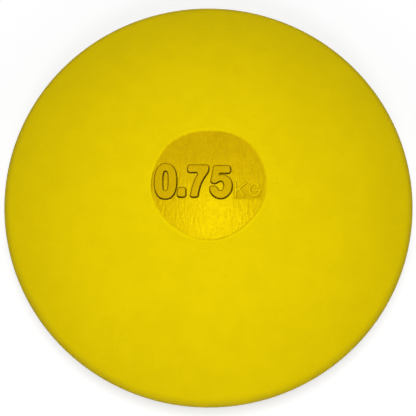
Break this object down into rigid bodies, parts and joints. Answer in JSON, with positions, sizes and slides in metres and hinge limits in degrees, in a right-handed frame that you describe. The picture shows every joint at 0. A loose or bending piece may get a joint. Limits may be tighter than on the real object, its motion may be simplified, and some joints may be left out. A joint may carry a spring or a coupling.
{
  "type": "rubber discus",
  "caption": "Round lens-shaped throwing discus of yellow rubber with a blunt rounded rim and a darker disc let into the flat middle of each face, over a hidden steel core plate.",
  "frame": {"origin": "middle of the lower flat face, on the discus's own axis, so that the discus lies flat on the surface it stands on", "axes": "+Z along the axis of rotation, up through the upper face; X and Y across the discus, with the markings of the upper face reading along +X"},
  "size_m": [0.166, 0.166, 0.035],
  "materials": {
    "body_rubber": "matte",
    "disc_rubber": "satin",
    "core_steel": "rough, as cut"
  },
  "bodies": {
    "root": {"upper_rubber_half": "body_rubber", "lower_rubber_half": "body_rubber", "upper_centre_disc": "disc_rubber", "lower_centre_disc": "disc_rubber", "steel_core_plate": "core_steel"}
  },
  "joints": []
}
